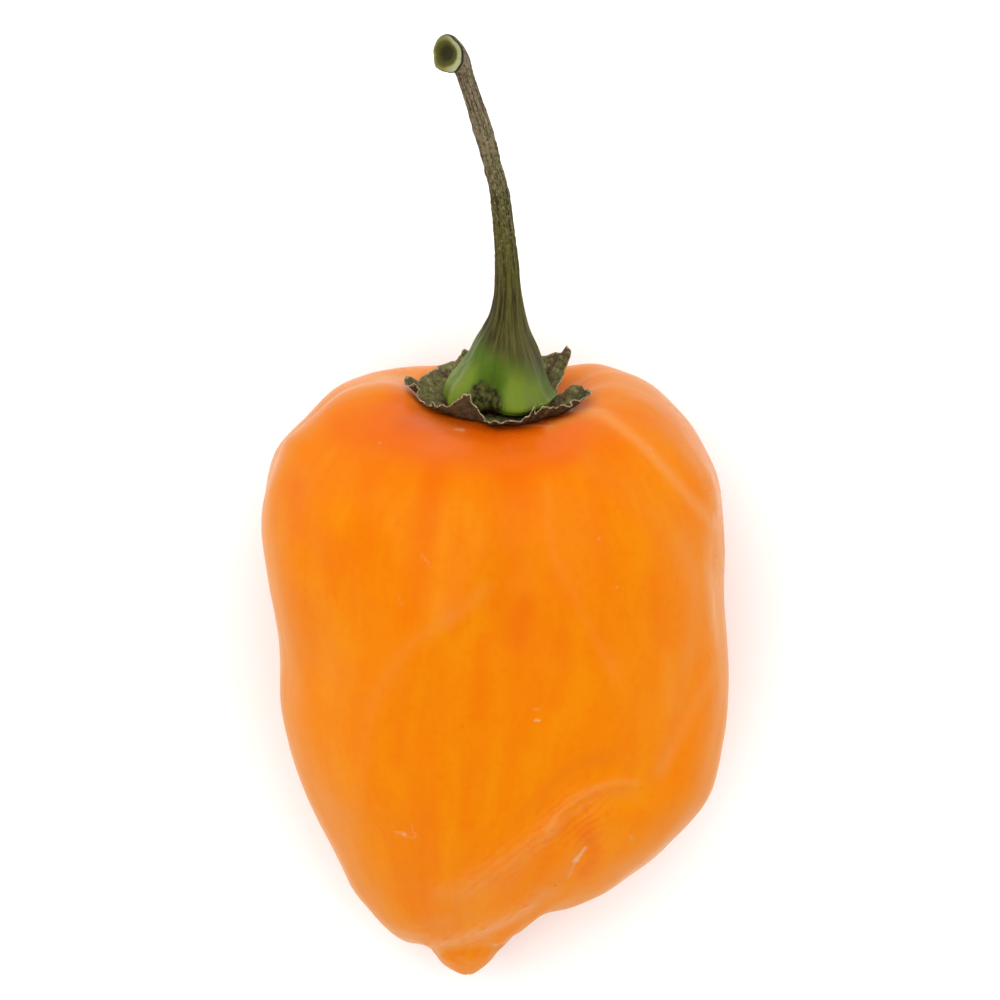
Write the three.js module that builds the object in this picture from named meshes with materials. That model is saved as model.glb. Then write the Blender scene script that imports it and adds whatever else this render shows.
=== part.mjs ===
// A ripe orange habanero chilli pepper, lying on its side on a table: a lantern-shaped pod with four lobes
// and a blunt blossom tip, a collar of dry sepals, and a curved stem that flares where it meets the collar.
//
// Each piece is modelled in the pod's own frame: Y runs up the pod's axis from the blossom tip to the stem,
// Z points to the pod's front, and X to its right. One group leans that frame back onto the table, where
// +Z is up, the pod's front faces up, and the origin is on the table under the middle of the whole pepper.
// Lengths are in millimetres and angles in degrees.

import * as THREE from "three";

// ---------------------------------------------------------------- driving dimensions

const LEAN = 15; // how far the pod's axis rises from the table, towards the stem
const CONTACT_PRESS = 0.12; // how deep the skin is pressed flat where the pod's weight rests on it
const GAP = 0.25; // clearance between touching pieces

const POD_SIDES = 80;
const POD_RINGS = 56;

const STEM_SIDES = 20;
const STEM_RINGS = 46;

const CALYX_SIDES = 72;
const CALYX_RINGS = 7;

// The pod's four outlines, each as [distance from the axis, height] from the seat of the stem to the
// blossom tip. Points of the same rank lie on one ring, so the four lists have the same length.
const SEAT = [0.3, 43.1];
const TIP = [-1.85, 0];

const RIGHT_OUTLINE = [
  SEAT,
  [4.1, 43.2],
  [8.1, 44.6],
  [11.7, 43.9],
  [14.4, 41.9],
  [16.4, 39.0],
  [17.1, 34.6],
  [17.2, 29.2],
  [17.4, 23.8],
  [17.2, 19.2],
  [16.0, 14.6],
  [12.9, 10.7],
  [8.8, 7.3],
  [5.3, 5.5],
  [2.9, 4.6],
  [1.2, 2.7],
  [-0.3, 1.0],
  TIP,
];

const LEFT_OUTLINE = [
  SEAT,
  [-3.6, 43.2],
  [-8.0, 44.5],
  [-11.9, 43.8],
  [-14.6, 42.0],
  [-16.7, 39.3],
  [-17.4, 35.4],
  [-16.9, 30.8],
  [-15.9, 25.8],
  [-15.7, 20.9],
  [-14.6, 16.0],
  [-12.9, 11.6],
  [-11.0, 7.7],
  [-9.2, 4.6],
  [-6.8, 2.8],
  [-4.9, 2.1],
  [-3.6, 0.9],
  TIP,
];

const FRONT_OUTLINE = [
  [0, 43.1],
  [4.2, 43.0],
  [8.2, 42.7],
  [11.5, 41.7],
  [13.8, 39.4],
  [15.1, 36.0],
  [15.5, 32.2],
  [15.2, 27.8],
  [14.6, 23.2],
  [13.8, 18.8],
  [12.7, 14.6],
  [11.1, 11.0],
  [9.0, 8.1],
  [7.2, 6.0],
  [5.3, 4.9],
  [3.0, 4.7],
  [2.5, 2.3],
  [0, 0],
];

const BACK_OUTLINE = [
  [0, 43.1],
  [-4.0, 43.4],
  [-8.2, 44.4],
  [-11.6, 43.5],
  [-14.2, 41.1],
  [-15.8, 37.8],
  [-16.2, 33.6],
  [-15.2, 29.0],
  [-13.5, 24.4],
  [-11.55, 19.8],
  [-10.3, 15.4],
  [-9.1, 11.2],
  [-7.5, 7.4],
  [-5.5, 4.4],
  [-4.1, 2.8],
  [-3.0, 1.8],
  [-1.7, 0.7],
  [0, 0],
];

// The pod's ring sections are rounded squares: 2 is an ellipse, and a larger number is squarer.
const SECTION_SQUARENESS = 2.35;

// The furrows between the lobes. Each follows a bearing round the axis (0 right, 90 front, 180 left,
// 270 back) from its first height to its last, and fades out there.
const FURROWS = [
  { name: "front", bearings: [84, 83], heights: [43.5, 27], depth: 0.75, width: 13 },
  { name: "right", bearings: [52, 12], heights: [43.5, 30], depth: 0.8, width: 11 },
  { name: "left", bearings: [176, 186], heights: [43.5, 34], depth: 0.7, width: 12 },
  { name: "back", bearings: [272, 270], heights: [43.5, 20], depth: 2.0, width: 22 },
];
const FURROW_FADE = 5; // half the height over which a furrow fades out
const FURROW_ROOM = [2, 11]; // half-depths of a ring with no room for a furrow, and with full room

// Folds pressed into the front, each a smooth line through [x, height] with a depth (a negative one is a
// ridge) and a half-width.
const FOLD_FACING = [0.15, 0.6]; // how far a point must face the front to be folded, from first to full
const FOLD_ROOM = [1, 4]; // half-depths of a ring with no room for a fold, and with full room
const FOLD_SAMPLES = 24;
const FRONT_FOLDS = [
  {
    name: "tip fold",
    line: [[-1.5, 5.0], [1.8, 7.2], [3.0, 11.8], [5.2, 16.4], [8.1, 17.6], [10.2, 17.0]],
    depth: 0.45,
    width: 1.7,
  },
  { name: "nose dimple", line: [[5.4, 9.8], [6.6, 12.2]], depth: 0.45, width: 1.4 },
  { name: "right fold", line: [[15.6, 26.5], [13.6, 22.5], [12.6, 18.0]], depth: 0.45, width: 1.6 },
  {
    name: "middle hollow",
    line: [[1.8, 34.0], [3.0, 28.0], [2.6, 22.0], [0.6, 16.5]],
    depth: 0.55,
    width: 3.2,
  },
  {
    name: "left ridge",
    line: [[-0.8, 35.8], [-6.1, 29.2], [-9.4, 20.8], [-10.0, 16.5]],
    depth: -0.4,
    width: 2.2,
  },
  { name: "right ridge", line: [[4.2, 37.0], [6.1, 32.0], [8.7, 25.6]], depth: -0.35, width: 1.9 },
  { name: "left hollow", line: [[-12.2, 34.0], [-12.6, 27.0]], depth: 0.4, width: 2.6 },
];

// The stem's centreline as [x, height above the collar, z], with its radius.
const STEM_LINE = [
  { at: [0.37, 0.0, 0.0], radius: 3.75 },
  { at: [0.38, 0.5, 0.0], radius: 4.2 },
  { at: [0.42, 1.0, 0.0], radius: 4.05 },
  { at: [0.55, 1.9, 0.0], radius: 3.5 },
  { at: [0.8, 2.9, 0.0], radius: 2.85 },
  { at: [0.98, 4.0, 0.0], radius: 2.25 },
  { at: [1.06, 5.1, 0.05], radius: 1.8 },
  { at: [1.1, 6.2, 0.1], radius: 1.4 },
  { at: [1.14, 7.4, 0.15], radius: 1.15 },
  { at: [1.12, 8.5, 0.2], radius: 1.0 },
  { at: [1.02, 10.8, 0.3], radius: 0.86 },
  { at: [0.84, 13.2, 0.4], radius: 0.76 },
  { at: [0.48, 15.9, 0.5], radius: 0.7 },
  { at: [0.0, 17.9, 0.65], radius: 0.67 },
  { at: [-0.46, 19.8, 0.85], radius: 0.65 },
  { at: [-0.98, 22.0, 1.1], radius: 0.63 },
  { at: [-1.5, 24.0, 1.45], radius: 0.63 },
  { at: [-2.05, 25.7, 2.0], radius: 0.7 },
  { at: [-2.65, 26.8, 2.7], radius: 0.95 },
  { at: [-3.15, 27.35, 3.5], radius: 1.25 },
];
const STEM_RIB_START = 0.3; // height above the collar where the ribs are fullest
const STEM_FOOT_HEIGHT = 2; // height below which the stem could touch the collar
const STEM_RIBS = 5;
const STEM_RIB_SHARE = 0.1; // how far a rib stands out, as a share of the stem's radius
const STEM_RIB_TOP = 5; // height above the collar where the ribs have faded out
const STEM_RIB_BEARING = 48; // bearing of the first rib's crest

// The rim of the calyx, as it runs round the stem: how far it reaches, and how high it curls off the skin.
const CALYX_RIM = [
  { bearing: 0, reach: 6.7, curl: 0.9 },
  { bearing: 22, reach: 5.5, curl: 0.6 },
  { bearing: 45, reach: 6.0, curl: 1.0 },
  { bearing: 65, reach: 6.2, curl: 0.9 },
  { bearing: 84, reach: 6.4, curl: 0.3 },
  { bearing: 102, reach: 6.1, curl: 0.5 },
  { bearing: 120, reach: 5.8, curl: 1.3 },
  { bearing: 142, reach: 6.4, curl: 0.7 },
  { bearing: 165, reach: 6.2, curl: 0.6 },
  { bearing: 190, reach: 7.2, curl: 0.9 },
  { bearing: 214, reach: 6.0, curl: 1.3 },
  { bearing: 247, reach: 5.9, curl: 1.5 },
  { bearing: 280, reach: 5.0, curl: 1.0 },
  { bearing: 317, reach: 6.9, curl: 2.2 },
  { bearing: 338, reach: 5.3, curl: 1.0 },
];
const CALYX_THICKNESS = 0.6;
const CALYX_RIM_THICKNESS = 0.45;
const CALYX_FLAT_SHARE = 0.55; // the share of its reach over which the collar lies on the skin
const CALYX_CURL_POWER = 1.6; // how sharply the rim curls up beyond that

// ---------------------------------------------------------------- shared helpers

const RAD = Math.PI / 180;
const HIGH_ABOVE = 100; // higher than any piece, for looking down on one

const clamp01 = (value) => Math.min(1, Math.max(0, value));

const smoothstep = (low, high, value) => {
  const t = clamp01((value - low) / (high - low));
  return t * t * (3 - 2 * t);
};

// The turn from one bearing to another the short way round, from -180 to 180.
const turnBetween = (from, to) => ((((to - from + 180) % 360) + 360) % 360) - 180;

// A smooth curve in a plane, through points given as [across, along].
const flatCurve = (points) => {
  return new THREE.CatmullRomCurve3(points.map(([across, along]) => new THREE.Vector3(across, along, 0)));
};

// The corner numbers of a loft's triangles: fans at its two poles, and two triangles for each of the
// quads between its rings. Corner 0 is the first pole, and the last corner is the other pole.
function loftFaces(ringCount, sides) {
  const at = (ring, side) => 1 + ring * sides + (side % sides);
  const endPole = 1 + ringCount * sides;
  const faces = [];
  for (let side = 0; side < sides; side += 1) {
    faces.push([0, at(0, side), at(0, side + 1)]);
    faces.push([endPole, at(ringCount - 1, side + 1), at(ringCount - 1, side)]);
    for (let ring = 0; ring + 1 < ringCount; ring += 1) {
      faces.push([at(ring, side), at(ring + 1, side), at(ring + 1, side + 1)]);
      faces.push([at(ring, side), at(ring + 1, side + 1), at(ring, side + 1)]);
    }
  }
  return faces;
}

// A closed surface from one pole over rings of the same number of points to the other pole, facing out.
function loft(startPole, rings, endPole) {
  const vertices = [startPole, ...rings.flat(), endPole];
  const faces = loftFaces(rings.length, rings[0].length);
  const volumes = faces.map(([a, b, c]) => vertices[a].dot(vertices[b].clone().cross(vertices[c])));
  const facesOut = volumes.reduce((sum, volume) => sum + volume, 0) > 0;
  const geometry = new THREE.BufferGeometry().setFromPoints(vertices);
  geometry.setIndex(faces.flatMap(([a, b, c]) => (facesOut ? [a, b, c] : [a, c, b])));
  geometry.computeVertexNormals();
  return geometry;
}

// The height of a mesh's skin under a point, looking down its own Y.
function heightUnder(mesh, x, z) {
  const above = new THREE.Vector3(x, HIGH_ABOVE, z);
  const [hit] = new THREE.Raycaster(above, new THREE.Vector3(0, -1, 0)).intersectObject(mesh);
  return hit.point.y;
}

// ---------------------------------------------------------------- the pod

const rightCurve = flatCurve(RIGHT_OUTLINE);
const leftCurve = flatCurve(LEFT_OUTLINE);
const frontCurve = flatCurve(FRONT_OUTLINE);
const backCurve = flatCurve(BACK_OUTLINE);
const foldLines = FRONT_FOLDS.map(({ line }) => flatCurve(line).getPoints(FOLD_SAMPLES));

// How deep the furrows cut at a bearing and a height.
function furrowDepth(bearing, height) {
  return FURROWS.reduce((sum, { bearings, heights, depth, width }) => {
    const down = clamp01((heights[0] - height) / (heights[0] - heights[1]));
    const centre = THREE.MathUtils.lerp(bearings[0], bearings[1], down);
    const across = turnBetween(centre, bearing) / width;
    const fade = smoothstep(heights[1] - FURROW_FADE, heights[1] + FURROW_FADE, height);
    return sum + depth * Math.exp(-across * across) * fade;
  }, 0);
}

// How deep the front folds press in at a point of the front.
function foldDepth(x, height) {
  return FRONT_FOLDS.reduce((sum, { depth, width }, fold) => {
    const nearest = Math.min(...foldLines[fold].map((p) => Math.hypot(p.x - x, p.y - height)));
    return sum + depth * Math.exp(-((nearest / width) ** 2));
  }, 0);
}

// One ring of the pod, a share of the way from the seat to the tip: its middle, half sizes and heights.
function podRing(share) {
  const right = rightCurve.getPoint(share);
  const left = leftCurve.getPoint(share);
  const front = frontCurve.getPoint(share);
  const back = backCurve.getPoint(share);
  return {
    middle: [(right.x + left.x) / 2, (front.x + back.x) / 2],
    halfWidth: (right.x - left.x) / 2,
    halfDepth: (front.x - back.x) / 2,
    heights: { right: right.y, left: left.y, front: front.y, back: back.y },
  };
}

// The point of the pod's skin on a ring at a bearing.
function podPoint({ middle, halfWidth, halfDepth, heights }, bearing) {
  const c = Math.cos(bearing * RAD);
  const s = Math.sin(bearing * RAD);
  const sideHeight = c > 0 ? heights.right : heights.left;
  const faceHeight = s > 0 ? heights.front : heights.back;
  const height = c * c * sideHeight + s * s * faceHeight;
  const n = SECTION_SQUARENESS;
  const full = (Math.abs(c / halfWidth) ** n + Math.abs(s / halfDepth) ** n) ** (-1 / n);
  const radius = full - smoothstep(...FURROW_ROOM, halfDepth) * furrowDepth(bearing, height);
  const folded = smoothstep(...FOLD_FACING, s) * smoothstep(...FOLD_ROOM, halfDepth);
  const reach = radius - (folded > 0 ? folded * foldDepth(middle[0] + radius * c, height) : 0);
  return new THREE.Vector3(middle[0] + reach * c, height, middle[1] + reach * s);
}

function podRings() {
  return Array.from({ length: POD_RINGS }, (_, number) => {
    const ring = podRing((number + 1) / (POD_RINGS + 1));
    return Array.from({ length: POD_SIDES }, (__, side) => podPoint(ring, (360 * side) / POD_SIDES));
  });
}

// Presses the skin flat where the pod rests when it leans on the table. Returns the table's height in the
// leaned frame.
function pressContacts(rings, lean) {
  const points = rings.flat();
  points.forEach((point) => point.applyMatrix4(lean));
  const table = Math.min(...points.map((point) => point.z)) + CONTACT_PRESS;
  points.forEach((point) => point.setZ(Math.max(point.z, table)));
  const upright = lean.clone().invert();
  points.forEach((point) => point.applyMatrix4(upright));
  return table;
}

// ---------------------------------------------------------------- the calyx

const rimCurve = new THREE.CatmullRomCurve3(
  CALYX_RIM.map(({ bearing, reach, curl }) => {
    return new THREE.Vector3(reach * Math.cos(bearing * RAD), curl, reach * Math.sin(bearing * RAD));
  }),
  true,
);

// One ring of the collar, a share of the way out to its rim: its underside, and its top above that.
function calyxRing(pod, share) {
  const curled = clamp01((share - CALYX_FLAT_SHARE) / (1 - CALYX_FLAT_SHARE)) ** CALYX_CURL_POWER;
  const thickness = THREE.MathUtils.lerp(CALYX_THICKNESS, CALYX_RIM_THICKNESS, share);
  const under = Array.from({ length: CALYX_SIDES }, (_, side) => {
    const rim = rimCurve.getPoint(side / CALYX_SIDES);
    const x = SEAT[0] + share * rim.x;
    const z = share * rim.z;
    return new THREE.Vector3(x, heightUnder(pod, x, z) + GAP + curled * rim.y, z);
  });
  const over = under.map((point) => point.clone().setY(point.y + thickness));
  return { under, over };
}

function calyxGeometry(pod) {
  const shares = Array.from({ length: CALYX_RINGS }, (_, number) => (number + 1) / CALYX_RINGS);
  const rings = shares.map((share) => calyxRing(pod, share));
  const startPole = new THREE.Vector3(SEAT[0], heightUnder(pod, SEAT[0], 0) + GAP, 0);
  const endPole = startPole.clone().setY(startPole.y + CALYX_THICKNESS);
  const under = rings.map((ring) => ring.under);
  const over = rings.map((ring) => ring.over).reverse();
  return loft(startPole, [...under, ...over], endPole);
}

// ---------------------------------------------------------------- the stem

// Directions across the stem's line at each ring, carried along it without twisting.
function stemFrames(line) {
  let across = new THREE.Vector3(1, 0, 0);
  return Array.from({ length: STEM_RINGS + 1 }, (_, ring) => {
    const share = ring / STEM_RINGS;
    const along = line.getTangent(share);
    across = across.clone().addScaledVector(along, -across.dot(along)).normalize();
    const other = new THREE.Vector3().crossVectors(across, along);
    return { share, centre: line.getPoint(share), across, other };
  });
}

function stemGeometry(calyx) {
  const foot = heightUnder(calyx, SEAT[0], 0) + GAP;
  const line = new THREE.CatmullRomCurve3(
    STEM_LINE.map(({ at: [x, y, z] }) => new THREE.Vector3(x, foot + y, z)),
  );
  const radii = flatCurve(STEM_LINE.map(({ radius }, number) => [radius, number]));
  const rings = stemFrames(line).map(({ share, centre, across, other }) => {
    const height = centre.y - foot;
    const ribbed = STEM_RIB_SHARE * (1 - smoothstep(STEM_RIB_START, STEM_RIB_TOP, height));
    return Array.from({ length: STEM_SIDES }, (_, side) => {
      const bearing = (360 * side) / STEM_SIDES;
      const rib = ribbed * Math.cos(STEM_RIBS * (bearing - STEM_RIB_BEARING) * RAD);
      const radius = radii.getPoint(share).x * (1 + rib);
      const point = centre.clone();
      point.addScaledVector(across, radius * Math.cos(bearing * RAD));
      point.addScaledVector(other, radius * Math.sin(bearing * RAD));
      // The foot follows the collar it sits on.
      const lowest = height < STEM_FOOT_HEIGHT ? heightUnder(calyx, point.x, point.z) + GAP : point.y;
      return point.setY(Math.max(point.y, lowest));
    });
  });
  return loft(line.getPoint(0), rings, line.getPoint(1));
}

// ---------------------------------------------------------------- assembly

const podSkin = new THREE.MeshStandardMaterial({ color: 0xf6820f, roughness: 0.32, metalness: 0 });
const drySepal = new THREE.MeshStandardMaterial({ color: 0x5c4b2a, roughness: 0.85, metalness: 0 });
const greenStem = new THREE.MeshStandardMaterial({ color: 0x5d6a2c, roughness: 0.6, metalness: 0 });

function namedMesh(name, geometry, material) {
  const mesh = new THREE.Mesh(geometry, material);
  mesh.name = name;
  return mesh;
}

function buildPepper() {
  const leaned = new THREE.Group();
  leaned.rotation.x = LEAN * RAD;
  leaned.updateMatrix();

  const rings = podRings();
  const table = pressContacts(rings, leaned.matrix);
  const podGeometry = loft(new THREE.Vector3(...SEAT, 0), rings, new THREE.Vector3(...TIP, 0));
  const pod = namedMesh("pod", podGeometry, podSkin);
  const calyx = namedMesh("calyx", calyxGeometry(pod), drySepal);
  const stem = namedMesh("stem", stemGeometry(calyx), greenStem);
  leaned.add(pod, calyx, stem);

  // Put the table at height 0, and the origin under the middle of the whole pepper.
  const pepper = new THREE.Group();
  pepper.add(leaned);
  pepper.updateMatrixWorld(true);
  const middle = new THREE.Box3().setFromObject(pepper, true).getCenter(new THREE.Vector3());
  leaned.position.set(-middle.x, -middle.y, -table);
  return pepper;
}

const pepper = buildPepper();

export default pepper;
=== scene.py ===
"""A ripe orange habanero lying on a pale table, seen from straight above.

The pod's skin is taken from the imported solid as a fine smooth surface, and then gets the folds, creases,
scars and specks that the solid is too coarse for. The calyx and the stem are modelled here as thin
crinkled sepals and a ribbed, fibrous stalk. Lengths are in millimetres until a mesh is made.
"""

import math

import bpy
import numpy as np
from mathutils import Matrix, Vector
from mathutils.bvhtree import BVHTree


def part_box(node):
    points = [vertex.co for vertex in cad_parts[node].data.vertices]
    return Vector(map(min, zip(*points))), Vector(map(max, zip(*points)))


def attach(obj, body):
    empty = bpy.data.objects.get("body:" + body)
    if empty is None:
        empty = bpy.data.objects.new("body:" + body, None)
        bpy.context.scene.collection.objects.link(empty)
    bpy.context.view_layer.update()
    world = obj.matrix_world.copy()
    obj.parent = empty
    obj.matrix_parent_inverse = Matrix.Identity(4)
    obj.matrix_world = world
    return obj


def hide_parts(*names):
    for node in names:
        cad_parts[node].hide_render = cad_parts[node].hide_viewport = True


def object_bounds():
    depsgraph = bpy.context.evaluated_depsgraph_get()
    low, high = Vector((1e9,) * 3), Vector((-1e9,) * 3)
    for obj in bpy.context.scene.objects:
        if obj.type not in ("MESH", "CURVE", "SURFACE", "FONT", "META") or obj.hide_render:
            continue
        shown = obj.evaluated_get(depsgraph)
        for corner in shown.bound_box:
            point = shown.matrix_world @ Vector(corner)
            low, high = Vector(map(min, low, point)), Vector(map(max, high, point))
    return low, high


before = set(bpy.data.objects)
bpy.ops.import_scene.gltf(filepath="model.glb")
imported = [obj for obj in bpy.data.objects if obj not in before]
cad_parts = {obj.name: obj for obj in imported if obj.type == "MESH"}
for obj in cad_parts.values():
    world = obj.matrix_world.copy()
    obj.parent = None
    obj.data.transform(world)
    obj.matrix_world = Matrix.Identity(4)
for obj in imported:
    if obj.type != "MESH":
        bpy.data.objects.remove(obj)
CAD_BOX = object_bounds()

MM = 0.001
SEED = 20260

# The pod's own frame on the table: its axis rises towards the stem by the angle the solid was leaned by.
LEAN = math.radians(15)
AXIS = np.array([0.0, math.cos(LEAN), math.sin(LEAN)])
FRONT = np.array([0.0, -math.sin(LEAN), math.cos(LEAN)])
RIGHT = np.array([1.0, 0.0, 0.0])


# ---------------------------------------------------------------- numbers


def smoothstep(low, high, value):
    t = np.clip((value - low) / (high - low), 0.0, 1.0)
    return t * t * (3.0 - 2.0 * t)


def unit(v):
    return v / np.maximum(np.linalg.norm(v, axis=-1, keepdims=True), 1e-12)


def falloff(away, reach):
    """1 where away is 0, fading smoothly over the reach."""
    return np.exp(-((away / reach) ** 2))


def spline(points, count, closed=False):
    """A Catmull-Rom curve through the points, as count samples."""
    p = np.asarray(points, float)
    n = len(p)
    spans = n if closed else n - 1
    t = np.linspace(0.0, spans, count, endpoint=not closed)
    i = np.minimum(t.astype(int), spans - 1)
    f = (t - i)[:, None]

    def at(k):
        if closed:
            return p[k % n]
        inside = p[np.clip(k, 0, n - 1)]
        before = 2 * p[0] - p[1]
        after = 2 * p[-1] - p[-2]
        return np.where((k < 0)[:, None], before, np.where((k > n - 1)[:, None], after, inside))

    a, b, c, d = at(i - 1), at(i), at(i + 1), at(i + 2)
    return 0.5 * (
        2 * b
        + (c - a) * f
        + (2 * a - 5 * b + 4 * c - d) * f**2
        + (3 * b - a - 3 * c + d) * f**3
    )


class Noise:
    """Smooth seeded noise in space, from -1 to 1, with a mean near 0."""

    SIZE = 32

    def __init__(self, seed):
        self.table = np.random.default_rng(seed).uniform(-1.0, 1.0, (self.SIZE,) * 3)

    def __call__(self, points, scale):
        q = np.asarray(points, float) / scale
        base = np.floor(q).astype(int)
        f = q - base
        f = f * f * f * (f * (f * 6.0 - 15.0) + 10.0)
        total = np.zeros(q.shape[:-1])
        for corner in range(8):
            step = np.array([corner & 1, corner >> 1 & 1, corner >> 2 & 1])
            cell = (base + step) % self.SIZE
            weight = np.prod(np.where(step == 1, f, 1.0 - f), axis=-1)
            total += weight * self.table[cell[..., 0], cell[..., 1], cell[..., 2]]
        return total


# ---------------------------------------------------------------- meshes


def new_piece(name, vertices_mm, faces, material, attributes):
    """A smooth-shaded mesh object in metres, with a float attribute for each name given."""
    mesh = bpy.data.meshes.new(name)
    mesh.from_pydata((np.asarray(vertices_mm) * MM).tolist(), [], [list(map(int, f)) for f in faces])
    mesh.validate()
    mesh.update()
    signed_volume = sum(face.center.dot(face.normal) * face.area for face in mesh.polygons) / 3
    if signed_volume < 0:
        mesh.flip_normals()
    for key, values in attributes.items():
        values = np.asarray(values, float)
        if values.ndim == 1:
            mesh.attributes.new(key, "FLOAT", "POINT").data.foreach_set("value", values)
        else:
            mesh.attributes.new(key, "FLOAT_VECTOR", "POINT").data.foreach_set("vector", values.ravel())
    mesh.polygons.foreach_set("use_smooth", np.ones(len(mesh.polygons), dtype=bool))
    mesh.materials.append(material)
    piece = bpy.data.objects.new(name, mesh)
    bpy.context.scene.collection.objects.link(piece)
    return piece


def tree_of(obj):
    """A search tree over an object's faces, in millimetres."""
    vertices = [v.co / MM for v in obj.data.vertices]
    return BVHTree.FromPolygons(vertices, [tuple(p.vertices) for p in obj.data.polygons])


def grid_faces(rows, columns):
    """Faces of a grid that closes round its columns, with a pole point before and after its rows."""

    def at(row, column):
        return 1 + row * columns + column % columns

    end = 1 + rows * columns
    faces = []
    for column in range(columns):
        faces.append((0, at(0, column), at(0, column + 1)))
        faces.append((end, at(rows - 1, column + 1), at(rows - 1, column)))
        for row in range(rows - 1):
            faces.append(
                (at(row, column), at(row + 1, column), at(row + 1, column + 1), at(row, column + 1))
            )
    return faces


def grid_normals(grid):
    """Unit normals of a grid that closes round its columns."""
    along = np.gradient(grid, axis=0)
    across = (np.roll(grid, -1, axis=1) - np.roll(grid, 1, axis=1)) / 2
    return unit(np.cross(along, across))


# ---------------------------------------------------------------- camera, floor and light

# The camera looks straight down. These lengths are in metres.
VIEW_WIDTH = 0.074
CAMERA_HEIGHT = 2.4
VIEW_OFFSET = (0.0004, 0.0003)
SUBJECT_HEIGHT = 0.014

centre = np.mean(CAD_BOX, axis=0)
camera_data = bpy.data.cameras.new("camera")
camera_data.sensor_width = 36.0
camera_data.lens = camera_data.sensor_width * (CAMERA_HEIGHT - SUBJECT_HEIGHT) / VIEW_WIDTH
camera_data.clip_end = 50.0
camera = bpy.data.objects.new("camera", camera_data)
camera.location = (centre[0] + VIEW_OFFSET[0], centre[1] + VIEW_OFFSET[1], CAMERA_HEIGHT)
scene = bpy.context.scene
scene.collection.objects.link(camera)
scene.camera = camera
scene.view_settings.view_transform = "Standard"
scene.view_settings.look = "None"


def node_material(name):
    material = bpy.data.materials.new(name)
    material.use_nodes = True
    tree = material.node_tree
    shader = next(n for n in tree.nodes if n.type == "BSDF_PRINCIPLED")
    return material, tree, shader


FLOOR_REACH = 6.0
FLOOR_WHITE = (0.94, 0.94, 0.94, 1.0)

floor_material, _, floor_shader = node_material("floor")
floor_shader.inputs["Base Color"].default_value = FLOOR_WHITE
floor_shader.inputs["Roughness"].default_value = 1.0
floor_shader.inputs["Specular IOR Level"].default_value = 0.0
floor_mesh = bpy.data.meshes.new("floor")
corners = [(x * FLOOR_REACH, y * FLOOR_REACH, 0.0) for x, y in ((-1, -1), (1, -1), (1, 1), (-1, 1))]
floor_mesh.from_pydata(corners, [], [(0, 1, 2, 3)])
floor_mesh.materials.append(floor_material)
floor = bpy.data.objects.new("floor", floor_mesh)
scene.collection.objects.link(floor)

# A pale room: bright walls all round and a darker ceiling, so that only slanting skin shines. The walls
# end and the ceiling starts at these heights on the unit sphere.
WALL_LIGHT = 0.78
CEILING_LIGHT = 0.1
WALL_TOP = 0.1
CEILING_EDGE = 0.6

world = bpy.data.worlds.new("world")
scene.world = world
world.use_nodes = True
sky = world.node_tree
background = sky.nodes["Background"]
background.inputs["Color"].default_value = (1.0, 1.0, 1.0, 1.0)
direction = sky.nodes.new("ShaderNodeTexCoord")
split = sky.nodes.new("ShaderNodeSeparateXYZ")
height_map = sky.nodes.new("ShaderNodeMapRange")
height_map.interpolation_type = "SMOOTHSTEP"
height_map.inputs["From Min"].default_value = WALL_TOP
height_map.inputs["From Max"].default_value = CEILING_EDGE
height_map.inputs["To Min"].default_value = WALL_LIGHT
height_map.inputs["To Max"].default_value = CEILING_LIGHT
sky.links.new(direction.outputs["Generated"], split.inputs[0])
sky.links.new(split.outputs["Z"], height_map.inputs["Value"])
sky.links.new(height_map.outputs["Result"], background.inputs["Strength"])


def softbox(name, bearing, elevation, distance, size, power):
    """A square lamp that faces the pepper and lights it without being mirrored in its skin."""
    lamp = bpy.data.lights.new(name, "AREA")
    lamp.size = size
    lamp.energy = power
    turn, rise = math.radians(bearing), math.radians(elevation)
    level = math.cos(rise)
    place = distance * Vector((math.cos(turn) * level, math.sin(turn) * level, math.sin(rise)))
    holder = bpy.data.objects.new(name, lamp)
    holder.location = place
    holder.rotation_euler = (-place).to_track_quat("-Z", "Y").to_euler()
    holder.visible_camera = False
    holder.visible_glossy = False
    scene.collection.objects.link(holder)


# Each side light's name, bearing and power.
SIDE_LIGHTS = [
    ("back_left_softbox", 140.0, 14.0),
    ("back_right_softbox", 45.0, 12.5),
    ("front_left_softbox", 230.0, 12.5),
    ("front_right_softbox", 320.0, 12.5),
]
SIDE_ELEVATION = 22.0
SIDE_DISTANCE = 2.2
SIDE_SIZE = 1.5

softbox("overhead_softbox", bearing=110.0, elevation=82.0, distance=2.0, size=3.0, power=69.0)
for light, bearing, power in SIDE_LIGHTS:
    softbox(light, bearing, SIDE_ELEVATION, SIDE_DISTANCE, SIDE_SIZE, power)


# ---------------------------------------------------------------- material helpers


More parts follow.
